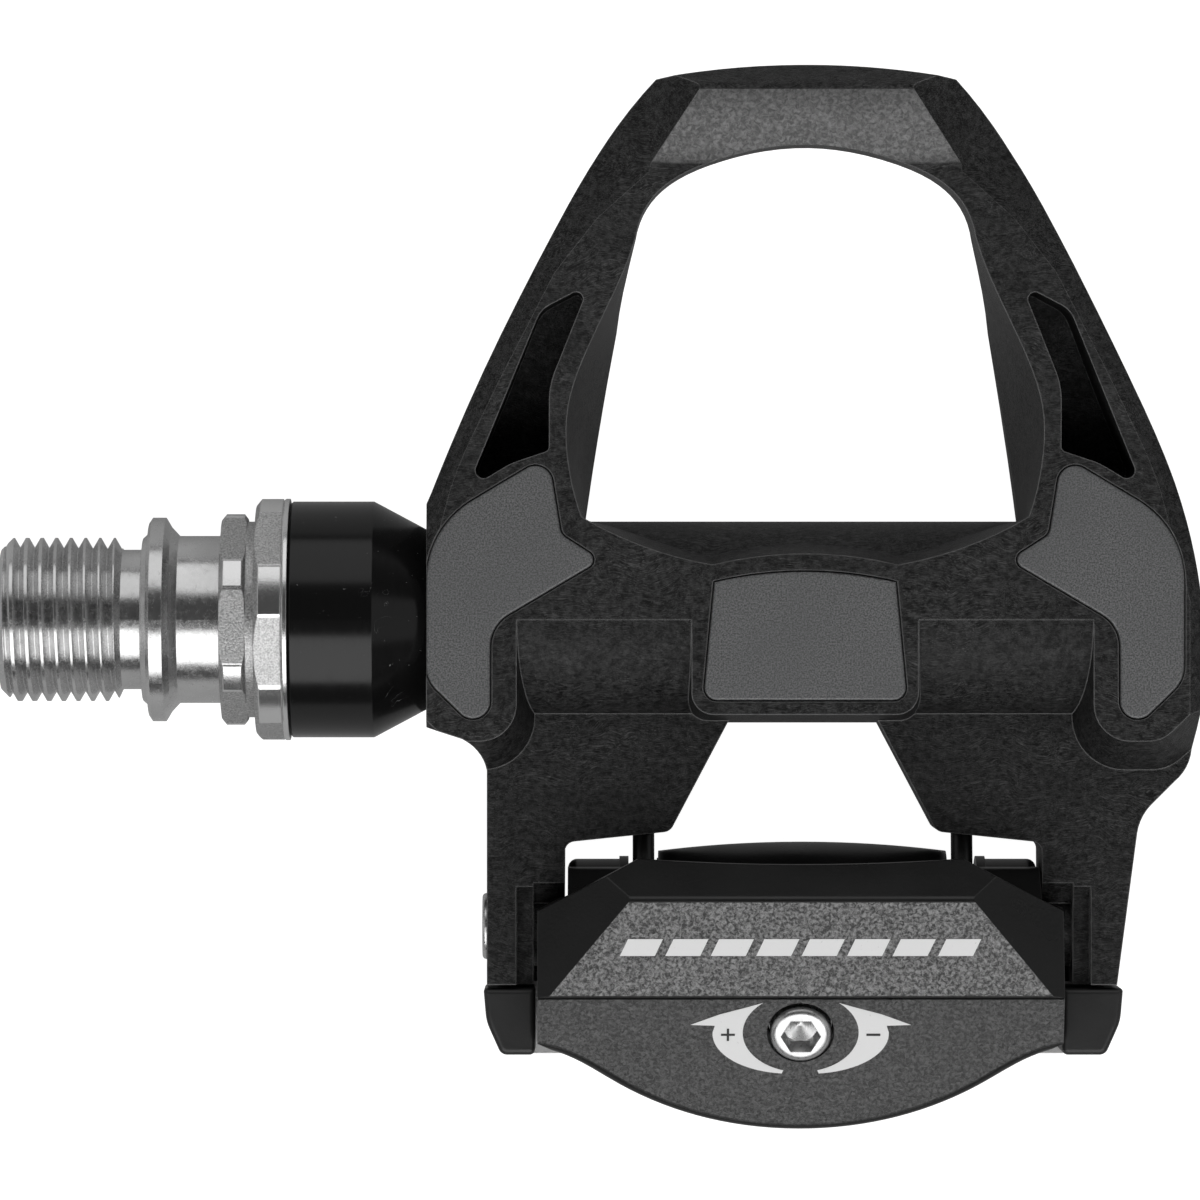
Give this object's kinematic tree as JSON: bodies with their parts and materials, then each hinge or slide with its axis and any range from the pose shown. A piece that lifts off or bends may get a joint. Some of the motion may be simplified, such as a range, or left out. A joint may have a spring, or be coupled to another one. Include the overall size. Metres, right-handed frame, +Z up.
{
  "type": "clipless pedal",
  "caption": "Single-sided clipless road pedal: threaded axle unit, open triangular composite body with steel cleat pads, and a sprung rear claw with a tension bolt.",
  "frame": {"origin": "axle axis where it crosses the flange face that seats on the crank arm", "axes": "+X along the axle from the crank outwards, +Y forwards to the toe, +Z up out of the cleat platform"},
  "size_m": [0.1044, 0.0919, 0.0246],
  "materials": {
    "spindle_steel": "polished, with a rolled thread",
    "blasted_steel": "bead-blasted flats with turned bright corners",
    "anodised_black": "glossy black anodised",
    "seal_rubber": "matte",
    "bearing_steel": "ground",
    "cage_steel": "pressed",
    "fibre_composite": "satin moulded, with short chopped fibres",
    "pad_steel": "satin grey",
    "claw_finish": "fine-grained dark satin",
    "bright_steel": "plated",
    "bush_plastic": "smooth",
    "spring_steel": "black oxide",
    "cap_plastic": "satin moulded",
    "plate_steel": "satin stamped"
  },
  "bodies": {
    "axle": {"spindle": "spindle_steel"},
    "pedal": {"pedal_body": "fibre_composite", "crank_side_pad": "pad_steel", "outer_side_pad": "pad_steel", "centre_pad": "pad_steel", "axle_sleeve": "anodised_black", "adjusting_cup": "blasted_steel", "lock_ring": "blasted_steel", "spindle_seal": "seal_rubber", "sleeve_o_ring": "seal_rubber", "outboard_cup": "bearing_steel", "needle_cup": "bearing_steel", "left_end_cap": "cap_plastic", "right_end_cap": "cap_plastic", "stop_plate": "plate_steel", "hinge_pin": "bright_steel", "left_spring_bush": "bush_plastic", "right_spring_bush": "bush_plastic", "left_spring": "spring_steel", "right_spring": "spring_steel"},
    "binding": {"claw": "claw_finish"},
    "tension_screw": {"tension_bolt": "bright_steel"},
    "tension_slider": {"tension_block": "spring_steel"},
    "inboard_ball_set": {"inboard_balls": "bearing_steel"},
    "outboard_ball_set": {"outboard_balls": "bearing_steel"},
    "needle_set": {"needle_rollers": "bearing_steel", "needle_cage": "cage_steel"}
  },
  "joints": [
    {"name": "pedal_spin", "type": "hinge", "parent": "axle", "child": "pedal", "pos_m": [0.057, 0, 0], "axis": [1, 0, 0], "continuous": true},
    {"name": "inboard_ball_orbit", "type": "hinge", "parent": "axle", "child": "inboard_ball_set", "pos_m": [0.0146, 0, 0], "axis": [1, 0, 0], "continuous": true},
    {"name": "outboard_ball_orbit", "type": "hinge", "parent": "axle", "child": "outboard_ball_set", "pos_m": [0.071, 0, 0], "axis": [1, 0, 0], "continuous": true},
    {"name": "needle_orbit", "type": "hinge", "parent": "axle", "child": "needle_set", "pos_m": [0.0515, 0, 0], "axis": [1, 0, 0], "continuous": true},
    {"name": "claw_hinge", "type": "hinge", "parent": "pedal", "child": "binding", "pos_m": [0.057, -0.0269, -0.0032], "axis": [-1, 0, 0], "range_deg": [-16, 0], "stiffness_Nm_per_rad": 4, "springref_deg": 20.05, "deforming": ["left_spring", "right_spring"]},
    {"name": "tension_bolt_turn", "type": "hinge", "parent": "binding", "child": "tension_screw", "pos_m": [0.0566, -0.0356, 0.009], "axis": [0, -0.4472, 0.8944], "range_deg": [-725, 185]},
    {"name": "tension_block_slide", "type": "slide", "parent": "binding", "child": "tension_slider", "axis": [0, -0.4472, 0.8944], "range_m": [-0.0016, 0.0004]}
  ],
  "couplings": [
    {"joint": "inboard_ball_orbit", "follows": "pedal_spin", "ratio": 0.56},
    {"joint": "outboard_ball_orbit", "follows": "pedal_spin", "ratio": 0.6},
    {"joint": "needle_orbit", "follows": "pedal_spin", "ratio": 0.58},
    {"joint": "tension_bolt_turn", "follows": "tension_block_slide", "rad_per_m": 7854}
  ]
}
